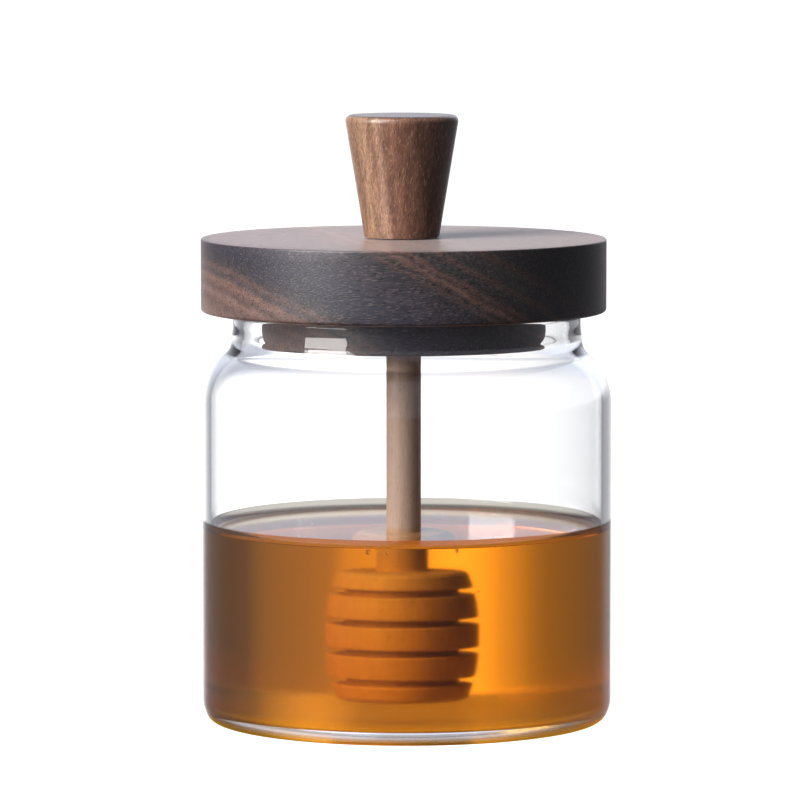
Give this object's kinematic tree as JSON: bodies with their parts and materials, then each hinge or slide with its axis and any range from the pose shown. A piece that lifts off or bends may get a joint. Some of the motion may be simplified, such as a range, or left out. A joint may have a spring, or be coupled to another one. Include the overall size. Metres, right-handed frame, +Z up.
{
  "type": "honey pot with dipper",
  "caption": "Clear cylindrical glass pot part filled with amber honey, closed by a thick turned wooden lid with a tapered knob, and a grooved wooden dipper standing in the honey.",
  "frame": {"origin": "centre of the jar's flat foot, on the surface that it stands on", "axes": "+Z up along the jar's axis, towards the knob; -Y faces the picture's viewer"},
  "size_m": [0.09, 0.09, 0.1329],
  "materials": {
    "clear_glass": "clear, smooth, thin blown glass",
    "amber_honey": "clear amber liquid with a glossy surface",
    "dark_walnut": "dark satin wood with diagonal figure and fine pores",
    "red_walnut": "oiled red-brown wood with upright grain",
    "pale_beech": "plain pale brown wood, unvarnished"
  },
  "bodies": {
    "root": {"glass_jar": "clear_glass", "honey": "amber_honey", "lid": "dark_walnut", "knob": "red_walnut", "dipper": "pale_beech"}
  },
  "joints": []
}
